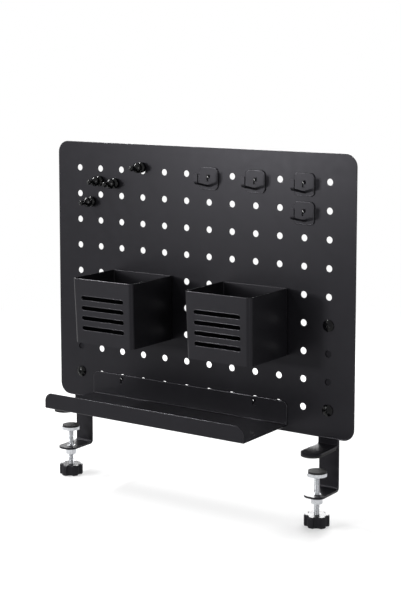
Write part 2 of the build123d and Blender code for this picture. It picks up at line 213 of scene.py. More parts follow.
class NutSettings(bpy.types.PropertyGroup):
    across_flats: bpy.props.FloatProperty(
        name="Across flats", description="Wrench size of the nuts", default=0.013, unit="LENGTH"
    )
    bore_radius: bpy.props.FloatProperty(
        name="Bore radius", description="Radius of the threaded hole", default=0.00405, unit="LENGTH"
    )
    height: bpy.props.FloatProperty(
        name="Height", description="Height of a nut", default=0.0065, unit="LENGTH"
    )
    chamfer: bpy.props.FloatProperty(
        name="Chamfer angle", description="Slope of the turned corners",
        default=math.radians(30), subtype="ANGLE",
    )
    face_inset: bpy.props.FloatProperty(
        name="Face inset", description="From a flat in to the chamfer's inner edge",
        default=0.0003, unit="LENGTH",
    )


class FinishSettings(bpy.types.PropertyGroup):
    paint: bpy.props.FloatVectorProperty(
        name="Powder coat", description="Colour of the sheet steel parts", default=(0.0070, 0.0068, 0.0082),
        subtype="COLOR", size=3,
    )
    moulding: bpy.props.FloatVectorProperty(
        name="Moulding", description="Colour of the cups and the knobs",
        default=(0.0066, 0.0064, 0.0077), subtype="COLOR", size=3,
    )
    gloss: bpy.props.FloatVectorProperty(
        name="Gloss black", description="Colour of the pins and the bolts",
        default=(0.0015, 0.0015, 0.0018), subtype="COLOR", size=3,
    )
    zinc: bpy.props.FloatVectorProperty(
        name="Zinc plate", description="Colour of the plated steel", default=(0.50, 0.51, 0.53),
        subtype="COLOR", size=3,
    )
    nickel: bpy.props.FloatVectorProperty(
        name="Nickel plate", description="Colour of the magnets", default=(0.62, 0.60, 0.56),
        subtype="COLOR", size=3,
    )
    rubber: bpy.props.FloatVectorProperty(
        name="Rubber", description="Colour of the pads",
        default=(0.012, 0.012, 0.012), subtype="COLOR", size=3,
    )


class StageSettings(bpy.types.PropertyGroup):
    camera_place: bpy.props.FloatVectorProperty(
        name="Camera place", description="Where the camera stands", default=(1.1785, -1.7217, 0.5574),
        subtype="TRANSLATION", size=3,
    )
    camera_azimuth: bpy.props.FloatProperty(
        name="Azimuth", description="Turn of the view to the left of straight ahead",
        default=math.radians(34.274), subtype="ANGLE",
    )
    camera_fall: bpy.props.FloatProperty(
        name="Fall", description="How far the view looks down", default=math.radians(6.447), subtype="ANGLE"
    )
    lens: bpy.props.FloatProperty(name="Lens", description="Focal length in millimetres", default=86.057)
    sensor: bpy.props.FloatProperty(
        name="Sensor", description="Height of the sensor in millimetres", default=36.0
    )
    shift: bpy.props.FloatProperty(
        name="Shift", description="Vertical lens shift, in sensor heights", default=-0.15
    )
    floor_drop: bpy.props.FloatProperty(
        name="Floor drop", description="Floor below the lowest piece", default=0.0002, unit="LENGTH"
    )


GROUPS = {
    "peg_board": BoardSettings,
    "peg_edge": EdgeSettings,
    "peg_cup": CupSettings,
    "peg_screw": ScrewSettings,
    "peg_weld": WeldSettings,
    "peg_nut": NutSettings,
    "peg_finish": FinishSettings,
    "peg_stage": StageSettings,
}


# ---------------------------------------------------------------- meshes
def new_piece(name, mesh, body):
    """An object at the origin that rides on a body, in the finish that its mesh carries already."""
    piece = bpy.data.objects.new(name, mesh)
    bpy.context.scene.collection.objects.link(piece)
    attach(piece, body)
    return piece


def ring_mesh(name, rings, looped=False):
    """Skin over rings of equally many points, capped at both ends or looped back to the first ring."""
    count = len(rings[0])
    points = [point for ring in rings for point in ring]
    faces = []
    for low in range(len(rings) if looped else len(rings) - 1):
        high = (low + 1) % len(rings)
        for i in range(count):
            j = (i + 1) % count
            faces.append((low * count + i, low * count + j, high * count + j, high * count + i))
    if not looped:
        faces.append(tuple(reversed(range(count))))
        top = (len(rings) - 1) * count
        faces.append(tuple(range(top, top + count)))
    mesh = bpy.data.meshes.new(name)
    mesh.from_pydata(points, [], faces)
    return mesh


def finish_skin(mesh, sharp):
    """Smooth shading, with sharp edges where the faces turn by more than an angle."""
    mesh.shade_smooth()
    mesh.set_sharp_from_angle(angle=sharp)
    return mesh


def turned_mesh(name, outline, centre):
    """Upright turned piece from (radius, height) pairs given from its bottom to its top."""
    segments, sharp = 48, math.radians(35)
    rings = []
    for radius, height in outline:
        ring = []
        for i in range(segments):
            angle = 2 * math.pi * i / segments
            ring.append((centre.x + radius * math.cos(angle), centre.y + radius * math.sin(angle), height))
        rings.append(ring)
    return finish_skin(ring_mesh(name, rings), sharp)


def nut_mesh(nut):
    """Chamfered hexagon nut along +Y from the origin, its corners turned down on both faces."""
    segments, sharp = 72, math.radians(20)
    apothem = nut.across_flats / 2
    face = apothem - nut.face_inset
    slope = math.tan(nut.chamfer)
    sixth = math.pi / 3
    face_low, side_low, side_high, face_high, bore_high, bore_low = ([] for _ in range(6))
    for i in range(segments):
        angle = 2 * math.pi * i / segments
        from_flat = (angle % sixth) - sixth / 2
        side = apothem / math.cos(from_flat)
        drop = (side - face) * slope
        c, s = math.cos(angle), -math.sin(angle)
        face_low.append((face * c, 0, face * s))
        side_low.append((side * c, drop, side * s))
        side_high.append((side * c, nut.height - drop, side * s))
        face_high.append((face * c, nut.height, face * s))
        bore_high.append((nut.bore_radius * c, nut.height, nut.bore_radius * s))
        bore_low.append((nut.bore_radius * c, 0, nut.bore_radius * s))
    rings = [bore_low, face_low, side_low, side_high, face_high, bore_high]
    return finish_skin(ring_mesh("nut_pattern", rings, looped=True), sharp)


# ---------------------------------------------------------------- geometry nodes
UPRIGHT = (math.pi / 2, 0, 0)  # turns what lies flat to face the front


class Tree:
    """A geometry node tree with named inputs that ends in realised, painted geometry."""

    def __init__(self, name, inputs):
        self.tree = bpy.data.node_groups.new(name, "GeometryNodeTree")
        for label, kind in inputs:
            self.tree.interface.new_socket(label, in_out="INPUT", socket_type=f"NodeSocket{kind}")
        self.tree.interface.new_socket("Geometry", in_out="OUTPUT", socket_type="NodeSocketGeometry")
        self.given = self.tree.nodes.new("NodeGroupInput").outputs

    def add(self, kind, inputs=None, **settings):
        """Adds a node, links or sets its inputs, and gives its first output."""
        node = self.tree.nodes.new(kind)
        for key, value in settings.items():
            setattr(node, key, value)
        for key, value in (inputs or {}).items():
            if isinstance(value, bpy.types.NodeSocket):
                self.tree.links.new(value, node.inputs[key])
            else:
                node.inputs[key].default_value = value
        return node.outputs[0]

    def maths(self, operation, first, second):
        """Two values or sockets added, multiplied or the like."""
        return self.add("ShaderNodeMath", {0: first, 1: second}, operation=operation)

    def vector(self, x=0.0, y=0.0, z=0.0):
        """A place put together from its three parts."""
        return self.add("ShaderNodeCombineXYZ", {"X": x, "Y": y, "Z": z})

    def circle(self, points, radius):
        """A circle with so many points, as a path or as the section of a bead."""
        return self.add("GeometryNodeCurvePrimitiveCircle", {"Resolution": points, "Radius": radius})

    def tube(self, path, section, capped=False):
        """A bead of the section's shape along a path."""
        curves = {"Curve": path, "Profile Curve": section, "Fill Caps": capped}
        return self.add("GeometryNodeCurveToMesh", curves)

    def move(self, geometry, place, turn=(0, 0, 0)):
        """The geometry turned and then moved to a place."""
        inputs = {"Geometry": geometry, "Translation": place, "Rotation": turn}
        return self.add("GeometryNodeTransform", inputs)

    def join(self, *geometries):
        """Several geometries as one."""
        node = self.tree.nodes.new("GeometryNodeJoinGeometry")
        for geometry in reversed(geometries):
            self.tree.links.new(geometry, node.inputs[0])
        return node.outputs[0]

    def finish(self, geometry, smooth=True):
        """Makes the geometry real and painted, and ends the tree with it."""
        solid = self.add("GeometryNodeRealizeInstances", {"Geometry": geometry})
        if smooth:
            solid = self.add("GeometryNodeSetShadeSmooth", {"Geometry": solid, "Shade Smooth": True})
        painted = self.add("GeometryNodeSetMaterial", {"Geometry": solid, "Material": self.given["Material"]})
        output = self.tree.nodes.new("NodeGroupOutput")
        self.tree.links.new(painted, output.inputs[0])
        return self.tree


def grow(name, tree, values, seed_mesh=None):
    """Plain mesh that a tree makes from a seed mesh with the given input values."""
    seed = bpy.data.objects.new(f"{name}_seed", seed_mesh or bpy.data.meshes.new(f"{name}_seed"))
    bpy.context.scene.collection.objects.link(seed)
    modifier = seed.modifiers.new("Nodes", "NODES")
    modifier.node_group = tree
    for item in tree.interface.items_tree:
        if item.item_type == "SOCKET" and item.in_out == "INPUT" and item.name in values:
            modifier[item.identifier] = values[item.name]
    bpy.context.view_layer.update()
    depsgraph = bpy.context.evaluated_depsgraph_get()
    mesh = bpy.data.meshes.new_from_object(seed.evaluated_get(depsgraph))
    seed.modifiers.remove(modifier)
    bpy.data.objects.remove(seed)
    mesh.name = name
    if not mesh.polygons:
        raise RuntimeError(f"{name} came out empty")
    return mesh


def hole_bead_tree():
    """A thin ring of paint round both mouths of every hole in a grid."""
    inputs = [("Columns", "Int"), ("Rows", "Int"), ("Material", "Material")]
    inputs += [(name, "Float") for name in ("Pitch", "Hole Radius", "Bead Radius", "Sheet", "Centre Height")]
    tree = Tree("Hole Beads", inputs)
    given = tree.given
    sunk_share = 0.6
    sunk = tree.maths("MULTIPLY", given["Bead Radius"], sunk_share)
    path = tree.circle(32, tree.maths("ADD", given["Hole Radius"], sunk))
    ring = tree.tube(path, tree.circle(6, given["Bead Radius"]))
    ring = tree.move(ring, (0, 0, 0), UPRIGHT)
    wide = tree.maths("MULTIPLY", tree.maths("SUBTRACT", given["Columns"], 1), given["Pitch"])
    tall = tree.maths("MULTIPLY", tree.maths("SUBTRACT", given["Rows"], 1), given["Pitch"])
    sizes = {"Size X": wide, "Size Y": tall, "Vertices X": given["Columns"], "Vertices Y": given["Rows"]}
    grid = tree.add("GeometryNodeMeshGrid", sizes)
    sheets = []
    for depth in (sunk, tree.maths("SUBTRACT", given["Sheet"], sunk)):
        place = tree.vector(y=depth, z=given["Centre Height"])
        sheets.append(tree.move(grid, place, UPRIGHT))
    both = tree.join(*sheets)
    return tree.finish(tree.add("GeometryNodeInstanceOnPoints", {"Points": both, "Instance": ring}))


def thread_tree():
    """A helical ridge round an upright core."""
    inputs = [("Core Radius", "Float"), ("Depth", "Float"), ("Turns", "Float"), ("Length", "Float")]
    inputs += [("Place", "Vector"), ("Material", "Material")]
    tree = Tree("Thread", inputs)
    given = tree.given
    spiral = {"Resolution": 24, "Rotations": given["Turns"], "Height": given["Length"]}
    spiral |= {"Start Radius": given["Core Radius"], "End Radius": given["Core Radius"], "Reverse": False}
    path = tree.add("GeometryNodeCurveSpiral", spiral)
    ridge = tree.tube(path, tree.circle(4, given["Depth"]), capped=True)
    return tree.finish(tree.move(ridge, given["Place"]))


def edge_tree():
    """A round bead along the seed's line of points, its corners rounded by the points' own radius."""
    tree = Tree("Edge Bead", [("Line", "Geometry"), ("Bead Radius", "Float"), ("Material", "Material")])
    path = tree.add("GeometryNodeMeshToCurve", {"Mesh": tree.given["Line"]})
    corner = tree.add("GeometryNodeInputNamedAttribute", {"Name": "corner"}, data_type="FLOAT")
    fillet = {"Curve": path, "Radius": corner, "Limit Radius": True, "Count": 6}
    rounded = tree.add("GeometryNodeFilletCurve", fillet, mode="POLY")
    return tree.finish(tree.tube(rounded, tree.circle(12, tree.given["Bead Radius"]), capped=True))


def corner_lines(lines):
    """Seed mesh of lines, each a list of (x, y, z, corner radius) and whether it closes on itself."""
    points, edges, corners = [], [], []
    for line, closed in lines:
        first = len(points)
        for x, y, z, corner in line:
            points.append((x, y, z))
            corners.append(corner)
        edges += [(first + i, first + i + 1) for i in range(len(line) - 1)]
        if closed:
            edges.append((len(points) - 1, first))
    mesh = bpy.data.meshes.new("corner_lines")
    mesh.from_pydata(points, edges, [])
    mesh.attributes.new("corner", "FLOAT", "POINT").data.foreach_set("value", corners)
    return mesh


def bead_piece(name, lines, radius, material, body):
    """Rounded edge piece along its lines, in a finish that is made already."""
    values = {"Bead Radius": radius, "Material": finish_named(material)}
    mesh = grow(name, edge_tree(), values, corner_lines(lines))
    return new_piece(name, mesh, body)


def upright_outline(low, high, y, inset, corner):
    """Closed rounded rectangle in an upright plane, pulled in from a box."""
    corner -= inset
    x0, x1, z0, z1 = low.x + inset, high.x - inset, low.z + inset, high.z - inset
    return [(x0, y, z0, corner), (x1, y, z0, corner), (x1, y, z1, corner), (x0, y, z1, corner)], True


def tray_outline(low, high, edge):
    """The tray's whole free edge: along lip and flange, and down and up both open ends."""
    front, back = low.y + edge.bead, tray_flange_back(high) - edge.bead
    floor = low.z + edge.sheet / 2
    inset = edge.bead - edge.proud
    lip, flange = low.z + edge.lip_height - inset, high.z - inset
    line = []
    for x, order in ((high.x - inset, 1), (low.x + inset, -1)):
        end = [
            (x, front, lip, edge.lip_corner - inset),
            (x, front, floor, edge.bend),
            (x, back, floor, edge.bend),
            (x, back, flange, edge.flange_corner - inset),
        ]
        line += end[::order]
    return line, True


def tray_flange_back(high):
    """Rear of the tray's flange, read near its top, because the tongues below reach further back."""
    near_top = 0.005
    return max(v.co.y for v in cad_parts["tray"].data.vertices if v.co.z > high.z - near_top)


def cup_front(cup, low, z, rim):
    """Depth of the cup's leaning front wall at a height."""
    return low.y + (rim - z) * math.tan(cup.lean)


def slot_outlines(cup, low, high):
    """Closed line round each slot, on the leaning front wall."""
    x = (low.x + high.x) / 2
    out = cup.slot_bead
    half_length, half_height = cup.slot_length / 2 + out, cup.slot_height / 2 + out
    behind = cup.slot_bead - cup.proud
    lines = []
    for slot in range(cup.slots):
        middle = high.z - cup.first_slot - slot * cup.slot_pitch
        line = []
        for along, up in ((-1, -1), (1, -1), (1, 1), (-1, 1)):
            z = middle + up * half_height
            y = cup_front(cup, low, z, high.z) + behind
            line.append((x + along * half_length, y, z, half_height))
        lines.append((line, True))
    return lines


def rim_outline(cup, low, high, back):
    """Closed line along the middle of the cup's rim."""
    inset = cup.wall / 2
    x0, x1, y0, y1 = low.x + inset, high.x - inset, low.y + inset, back - inset
    z = high.z - inset + cup.proud
    front_corner, back_corner = cup.front_corner - inset, cup.back_corner - inset
    line = [(x0, y0, z, front_corner), (x1, y0, z, front_corner), (x1, y1, z, back_corner)]
    return line + [(x0, y1, z, back_corner)], True


def foot_outline(edge, x, width, reach):
    """Open line round a foot's nose, halfway up its thickness."""
    half = width / 2 - edge.foot_thickness / 2
    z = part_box("left_foot_pad")[1].z + edge.foot_thickness / 2
    front = -reach + edge.foot_bead
    root = -edge.foot_thickness
    rounded_share = 0.98  # under 1, so that the nose's two roundings never meet in one point
    nose = rounded_share * half
    left, right = x - half, x + half
    return [(left, root, z, 0), (left, front, z, nose), (right, front, z, nose), (right, root, z, 0)], False


def weld_tree():
    """A rounded bead round a rectangular root on an upright plate."""
    inputs = [("Width", "Float"), ("Height", "Float"), ("Bead Radius", "Float"), ("Place", "Vector")]
    inputs += [("Material", "Material")]
    tree = Tree("Weld Bead", inputs)
    given = tree.given
    corner_share = 1.5  # over 1, so that the bead never folds into itself at a corner
    sizes = {"Width": given["Width"], "Height": given["Height"]}
    root = tree.add("GeometryNodeCurvePrimitiveQuadrilateral", sizes)
    corner = tree.maths("MULTIPLY", given["Bead Radius"], corner_share)
    rounded = tree.add("GeometryNodeFilletCurve", {"Curve": root, "Radius": corner, "Count": 5}, mode="POLY")
    bead = tree.tube(rounded, tree.circle(10, given["Bead Radius"]))
    return tree.finish(tree.move(bead, given["Place"], UPRIGHT))


def repeat_tree():
    """One pattern piece at every point of the seed mesh."""
    tree = Tree("Repeat", [("Points", "Geometry"), ("Pattern", "Object"), ("Material", "Material")])
    pattern = tree.add("GeometryNodeObjectInfo", {"Object": tree.given["Pattern"]}).node
    inputs = {"Points": tree.given["Points"], "Instance": pattern.outputs["Geometry"]}
    return tree.finish(tree.add("GeometryNodeInstanceOnPoints", inputs), smooth=False)


# ---------------------------------------------------------------- finishes
COOL = (0.93, 0.91, 1.0)  # tint of the highlights on paint and mouldings


class Finish:
    """A node material around one principled shader, with noises on object coordinates in metres."""

    def __init__(self, name, roughness, metallic=0.0, specular=0.5, tint=(1, 1, 1)):
        self.material = bpy.data.materials.new(name)
        self.material.use_nodes = True
        self.nodes = self.material.node_tree.nodes
        self.links = self.material.node_tree.links
        self.shader = self.nodes["Principled BSDF"]
        self.shader.inputs["Roughness"].default_value = roughness
        self.shader.inputs["Metallic"].default_value = metallic
        self.shader.inputs["Specular IOR Level"].default_value = specular
        self.shader.inputs["Specular Tint"].default_value = (*tint, 1)
        self.place = self.nodes.new("ShaderNodeTexCoord").outputs["Object"]

    def grain(self, size, detail, stretch=None):
        """Noise whose grains are about this wide, drawn out along an axis if stretched."""
        place = self.place
        if stretch:
            mapping = self.nodes.new("ShaderNodeMapping")
            mapping.inputs["Scale"].default_value = stretch
            self.links.new(place, mapping.inputs["Vector"])
            place = mapping.outputs["Vector"]
        noise = self.nodes.new("ShaderNodeTexNoise")
        noise.inputs["Scale"].default_value = 1 / size
        noise.inputs["Detail"].default_value = detail
        self.links.new(place, noise.inputs["Vector"])
        return noise.outputs["Fac"]

    def span(self, factor, low, high):
        """Spreads a noise, which keeps near its middle, over a range."""
        noise_low, noise_high = 0.3, 0.7
        span = self.nodes.new("ShaderNodeMapRange")
        span.inputs["From Min"].default_value = noise_low
        span.inputs["From Max"].default_value = noise_high
        span.inputs["To Min"].default_value = low
        span.inputs["To Max"].default_value = high
        self.links.new(factor, span.inputs["Value"])
        return span.outputs["Result"]

    def colour(self, base, size, detail, dark, light):
        """Base colour that wanders between a darker and a lighter shade."""
        mix = self.nodes.new("ShaderNodeMix")
        mix.data_type = "RGBA"
        mix.inputs["A"].default_value = (*(channel * dark for channel in base), 1)
        mix.inputs["B"].default_value = (*(channel * light for channel in base), 1)
        self.links.new(self.span(self.grain(size, detail), 0, 1), mix.inputs["Factor"])
        self.links.new(mix.outputs["Result"], self.shader.inputs["Base Color"])

    def roughness(self, size, detail, low, high):
        """Roughness that wanders between two values."""
        self.links.new(self.span(self.grain(size, detail), low, high), self.shader.inputs["Roughness"])

    def bump(self, size, detail, depth, strength, stretch=None):
        """Bump of one grain, on top of the bumps before it."""
        bump = self.nodes.new("ShaderNodeBump")
        bump.inputs["Distance"].default_value = depth
        bump.inputs["Strength"].default_value = strength
        self.links.new(self.grain(size, detail, stretch), bump.inputs["Height"])
        for link in self.shader.inputs["Normal"].links:
            self.links.new(link.from_socket, bump.inputs["Normal"])
        self.links.new(bump.outputs["Normal"], self.shader.inputs["Normal"])


def powder_coat(colour, name="satin_powder_coat", roughness=0.33, specular=0.14):
    """Satin powder coat with a fine orange peel."""
    wander = 0.02
    finish = Finish(name, roughness, specular=specular, tint=COOL)
    finish.colour(colour, size=0.03, detail=4, dark=0.9, light=1.1)
    finish.roughness(size=0.012, detail=3, low=roughness - wander, high=roughness + wander)
    finish.bump(size=0.0011, detail=2, depth=0.00004, strength=0.35)
    finish.bump(size=0.00022, detail=1, depth=0.000012, strength=0.3)
    return finish.material


def fine_moulding(colour, name="satin_moulding", roughness=0.38, specular=0.16):
    """Moulded plastic with a fine spark-eroded texture."""
    wander = 0.03
    finish = Finish(name, roughness, specular=specular, tint=COOL)
    finish.colour(colour, size=0.05, detail=3, dark=0.92, light=1.08)
    finish.roughness(size=0.009, detail=3, low=roughness - wander, high=roughness + wander)
    finish.bump(size=0.0006, detail=3, depth=0.00003, strength=0.3)
    finish.bump(size=0.00015, detail=1, depth=0.00001, strength=0.25)
    return finish.material


def gloss_black(colour):
    """Polished black moulding of the pins."""
    finish = Finish("gloss_black", roughness=0.1, specular=0.2)
    finish.colour(colour, size=0.01, detail=2, dark=0.9, light=1.1)
    finish.roughness(size=0.004, detail=3, low=0.08, high=0.16)
    finish.bump(size=0.003, detail=1, depth=0.00004, strength=0.15)
    return finish.material


def black_oxide(colour):
    """Oiled black finish of the bolts."""
    finish = Finish("black_oxide", roughness=0.15, specular=0.14)
    finish.colour(colour, size=0.002, detail=4, dark=0.8, light=1.3)
    finish.roughness(size=0.0012, detail=4, low=0.12, high=0.18)
    finish.bump(size=0.0004, detail=2, depth=0.00002, strength=0.3)
    return finish.material


def zinc_plate(colour):
    """Bright zinc on steel, with a slight cloudiness and fine lines round the piece."""
    finish = Finish("zinc_plate", roughness=0.28, metallic=1.0)
    finish.colour(colour, size=0.004, detail=4, dark=0.86, light=1.1)
    finish.roughness(size=0.0015, detail=4, low=0.22, high=0.38)
    finish.bump(size=0.0007, detail=3, depth=0.00002, strength=0.25, stretch=(1, 1, 6))
    return finish.material


def nickel_plate(colour):
    """Smooth, slightly warm plating of the disc magnets."""
    finish = Finish("nickel_plate", roughness=0.14, metallic=1.0)
    finish.colour(colour, size=0.003, detail=3, dark=0.92, light=1.06)
    finish.roughness(size=0.002, detail=4, low=0.1, high=0.2)
    finish.bump(size=0.001, detail=2, depth=0.00001, strength=0.2)
    return finish.material


def matt_rubber(colour):
    """Dull, grainy rubber of the pads."""
    finish = Finish("matt_rubber", roughness=0.8, specular=0.3)
    finish.colour(colour, size=0.006, detail=4, dark=0.8, light=1.3)
    finish.roughness(size=0.002, detail=4, low=0.72, high=0.88)
    finish.bump(size=0.0005, detail=4, depth=0.00006, strength=0.5)
    return finish.material


def paint(nodes, material):
    """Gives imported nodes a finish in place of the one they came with."""
    for name in nodes:
        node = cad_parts[name]
        node.data.materials.clear()
        node.data.materials.append(material)


def finish_named(name):
    """A finish that is made already."""
    material = bpy.data.materials.get(name)
    if material is None:
        raise RuntimeError(f"the finish {name} isn't made yet")
    return material


# ---------------------------------------------------------------- operators
class PEG_OT_finishes(bpy.types.Operator):
    """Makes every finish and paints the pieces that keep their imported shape"""

    bl_idname = "pegboard.finishes"
    bl_label = "Finishes"

    def execute(self, context):
        colours = context.scene.peg_finish
        paint(PAINTED, powder_coat(colours.paint))
        matt = powder_coat(colours.paint, "matt_powder_coat", roughness=0.5, specular=0.08)
        paint(of_sides("bracket"), matt)
        powder_coat(colours.paint, "edge_powder_coat", roughness=0.25, specular=0.32)
        paint(of_sides("cup"), fine_moulding(colours.moulding))
        paint(of_sides("knob"), fine_moulding(colours.moulding, "knob_moulding", roughness=0.36))
        fine_moulding(colours.moulding, "edge_moulding", roughness=0.25, specular=0.32)
        paint([f"{pin}_grip" for pin in PINS], gloss_black(colours.gloss))
        paint([f"{pin}_magnet" for pin in PINS], nickel_plate(colours.nickel))
        paint(["bolts"], black_oxide(colours.gloss))
        paint(of_sides("bush", "pad_plate") + ["washers", "rivets"], zinc_plate(colours.zinc))
        paint(of_sides("foot_pad", "pad_rubber"), matt_rubber(colours.rubber))
        return {"FINISHED"}


class PEG_OT_hole_beads(bpy.types.Operator):
    """Adds the paint bead round both mouths of every board hole"""

    bl_idname = "pegboard.hole_beads"
    bl_label = "Hole beads"

    def execute(self, context):
        board = context.scene.peg_board
        low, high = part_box("board")
        values = {
            "Columns": board.columns,
            "Rows": board.rows,
            "Pitch": board.pitch,
            "Hole Radius": board.hole_radius,
            "Bead Radius": board.bead,
            "Sheet": high.y - low.y,
            "Centre Height": (low.z + high.z) / 2,
            "Material": finish_named("satin_powder_coat"),
        }
        mesh = grow("board_hole_beads", hole_bead_tree(), values)
        new_piece("board_hole_beads", mesh, "root")
        return {"FINISHED"}


class PEG_OT_sheet_edges(bpy.types.Operator):
    """Adds the rounded painted edges of the board, the tray, the hook plates and the feet"""

    bl_idname = "pegboard.sheet_edges"
    bl_label = "Sheet edges"

    def execute(self, context):
        edge = context.scene.peg_edge
        paint_name, slot = "edge_powder_coat", "charcoal_paint"
        low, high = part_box("board")
        outline = upright_outline(low, high, (low.y + high.y) / 2, edge.bead, edge.board_corner)
        bead_piece("board_edge", [outline], edge.bead, paint_name, "root")
        low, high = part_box("tray")
        bead_piece("tray_edge", [tray_outline(low, high, edge)], edge.bead, paint_name, "tray")
        for hook in HOOKS:
            low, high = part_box(f"{hook}_plate")
            outline = upright_outline(low, high, low.y + edge.sheet / 2, edge.sheet / 2, edge.hook_corner)
            bead_piece(f"{hook}_plate_edge", [outline], edge.bead, paint_name, hook)
        for side in SIDES:
            low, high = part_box(f"{side}_bracket")
            outline = foot_outline(edge, (low.x + high.x) / 2, high.x - low.x, -low.y)
            bead_piece(f"{side}_foot_edge", [outline], edge.foot_bead, paint_name, "root")
        return {"FINISHED"}


class PEG_OT_cup_edges(bpy.types.Operator):
    """Adds the rounded rim of each cup and the rounded mouths of its slots"""

    bl_idname = "pegboard.cup_edges"
    bl_label = "Cup edges"

    def execute(self, context):
        cup = context.scene.peg_cup
        for side in SIDES:
            body = f"{side}_cup"
            low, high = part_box(body)
            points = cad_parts[body].data.vertices
            back = max(v.co.y for v in points if v.co.z > high.z - cup.wall)
            rim = rim_outline(cup, low, high, back)
            bead_piece(f"{side}_cup_rim", [rim], cup.wall / 2, "edge_moulding", body)
            slots = slot_outlines(cup, low, high)
            bead_piece(f"{side}_cup_slots", slots, cup.slot_bead, "edge_moulding", body)
        return {"FINISHED"}


class PEG_OT_hook_welds(bpy.types.Operator):
    """Adds the weld bead between each hook's arm and its plate"""

    bl_idname = "pegboard.hook_welds"
    bl_label = "Hook welds"

    def execute(self, context):
        weld = context.scene.peg_weld
        tree = weld_tree()
        for hook in HOOKS:
            arm_low, arm_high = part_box(f"{hook}_arm")
            root_height = weld.arm_thickness / math.cos(weld.arm_slope)
            place = Vector(((arm_low.x + arm_high.x) / 2, arm_high.y, arm_low.z + root_height / 2))
            values = {
                "Width": arm_high.x - arm_low.x,
                "Height": root_height,
                "Bead Radius": weld.bead,
                "Place": place,
                "Material": finish_named("satin_powder_coat"),
            }
            mesh = grow(f"{hook}_weld", tree, values)
            new_piece(f"{hook}_weld", mesh, hook)
        return {"FINISHED"}


def screw_outline(screw, low, high):
    """Core, collar, journal and headed-over end of a clamp screw, as (radius, height) from its bottom up."""
    shoulder = high.z - screw.journal_height
    head = high.z - screw.head_height
    head_radius = (high.x - low.x) / 2
    chamfer = screw.major_radius - screw.core_radius
    return [
        (screw.core_radius - chamfer, low.z),
        (screw.core_radius, low.z + chamfer),
        (screw.core_radius, shoulder - 2 * chamfer),
        (screw.major_radius, shoulder - chamfer),
        (screw.major_radius, shoulder),
        (screw.journal_radius, shoulder),
        (screw.journal_radius, head),
        (head_radius, head),
        (head_radius, high.z - chamfer / 2),
        (head_radius - chamfer / 2, high.z),
    ]


class PEG_OT_clamp_screws(bpy.types.Operator):
    """Replaces each plain clamp screw by a turned core with a real thread"""

    bl_idname = "pegboard.clamp_screws"
    bl_label = "Clamp screws"

    def execute(self, context):
        screw = context.scene.peg_screw
        tree = thread_tree()
        zinc = finish_named("zinc_plate")
        for side in SIDES:
            low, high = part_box(f"{side}_clamp_screw")
            centre = (low + high) / 2
            ridge = screw.major_radius - screw.core_radius
            core = turned_mesh(f"{side}_screw_core", screw_outline(screw, low, high), centre)
            core.materials.append(zinc)
            piece = new_piece(core.name, core, f"{side}_screw")
            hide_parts(f"{side}_clamp_screw")
            thread_top = high.z - screw.journal_height - 2 * ridge
            length = thread_top - low.z - screw.lead
            values = {
                "Core Radius": screw.core_radius,
                "Depth": ridge,
                "Turns": length / screw.lead,
                "Length": length,
                "Place": Vector((centre.x, centre.y, low.z + screw.lead / 2)),
                "Material": zinc,
            }
            mesh = grow(f"{side}_screw_thread", tree, values)
            new_piece(mesh.name, mesh, f"{side}_screw")
        return {"FINISHED"}


class PEG_OT_nuts(bpy.types.Operator):
    """Replaces the plain nuts by chamfered ones behind the straps"""

    bl_idname = "pegboard.nuts"
    bl_label = "Nuts"

    def execute(self, context):
        nut = context.scene.peg_nut
        seed = bpy.data.meshes.new("nut_points")
        seed.from_pydata(nut_places(), [], [])
        pattern = bpy.data.objects.new("nut_pattern", nut_mesh(nut))
        bpy.context.scene.collection.objects.link(pattern)
        values = {"Pattern": pattern, "Material": finish_named("zinc_plate")}
        mesh = grow("chamfered_nuts", repeat_tree(), values, seed)
        bpy.data.objects.remove(pattern)
        piece = new_piece("chamfered_nuts", mesh, "root")
        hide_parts("nuts")
        return {"FINISHED"}


def nut_places():
    """Middle of the front face of each packed nut, one in each quarter of their node."""
    low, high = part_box("nuts")
    middle = (low + high) / 2
    corners = [vertex.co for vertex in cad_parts["nuts"].data.vertices]
    places = []
    for side in (-1, 1):
        for level in (-1, 1):
            mine = [co for co in corners if (co.x - middle.x) * side > 0 and (co.z - middle.z) * level > 0]
            x = (min(co.x for co in mine) + max(co.x for co in mine)) / 2
            z = (min(co.z for co in mine) + max(co.z for co in mine)) / 2
            places.append(Vector((x, min(co.y for co in mine), z)))
    return places


class PEG_OT_stage(bpy.types.Operator):
    """Sets the floor, the lamps, the backdrop and the camera"""

    bl_idname = "pegboard.stage"
    bl_label = "Stage"

    def execute(self, context):
        stage = context.scene.peg_stage
        make_floor(CAD_BOX[0].z - stage.floor_drop)
        make_backdrop(context.scene)
        for lamp in LAMPS:
            make_lamp(*lamp)
        make_camera(context.scene, stage)
        context.scene.view_settings.view_transform = "Standard"
        return {"FINISHED"}


def seen_directly(nodes, links):
    """1 for camera, glossy and transmission rays, and 0 for the rays that light the object."""
    path = nodes.new("ShaderNodeLightPath")
    total = path.outputs["Is Camera Ray"]
    for name in ("Is Glossy Ray", "Is Transmission Ray"):
        step = nodes.new("ShaderNodeMath")
        step.operation = "MAXIMUM"
        links.new(total, step.inputs[0])
        links.new(path.outputs[name], step.inputs[1])
        total = step.outputs[0]
    return total


def make_floor(height):
    """Pale floor that keeps the object's shadow, and is plain white further away."""
    reach = 12.0
    mesh = bpy.data.meshes.new("floor")
    corners = [(x * reach, y * reach, height) for x, y in ((-1, -1), (1, -1), (1, 1), (-1, 1))]
    mesh.from_pydata(corners, [], [(0, 1, 2, 3)])
    mesh.materials.append(pale_floor())
    floor = bpy.data.objects.new("floor", mesh)
    bpy.context.scene.collection.objects.link(floor)


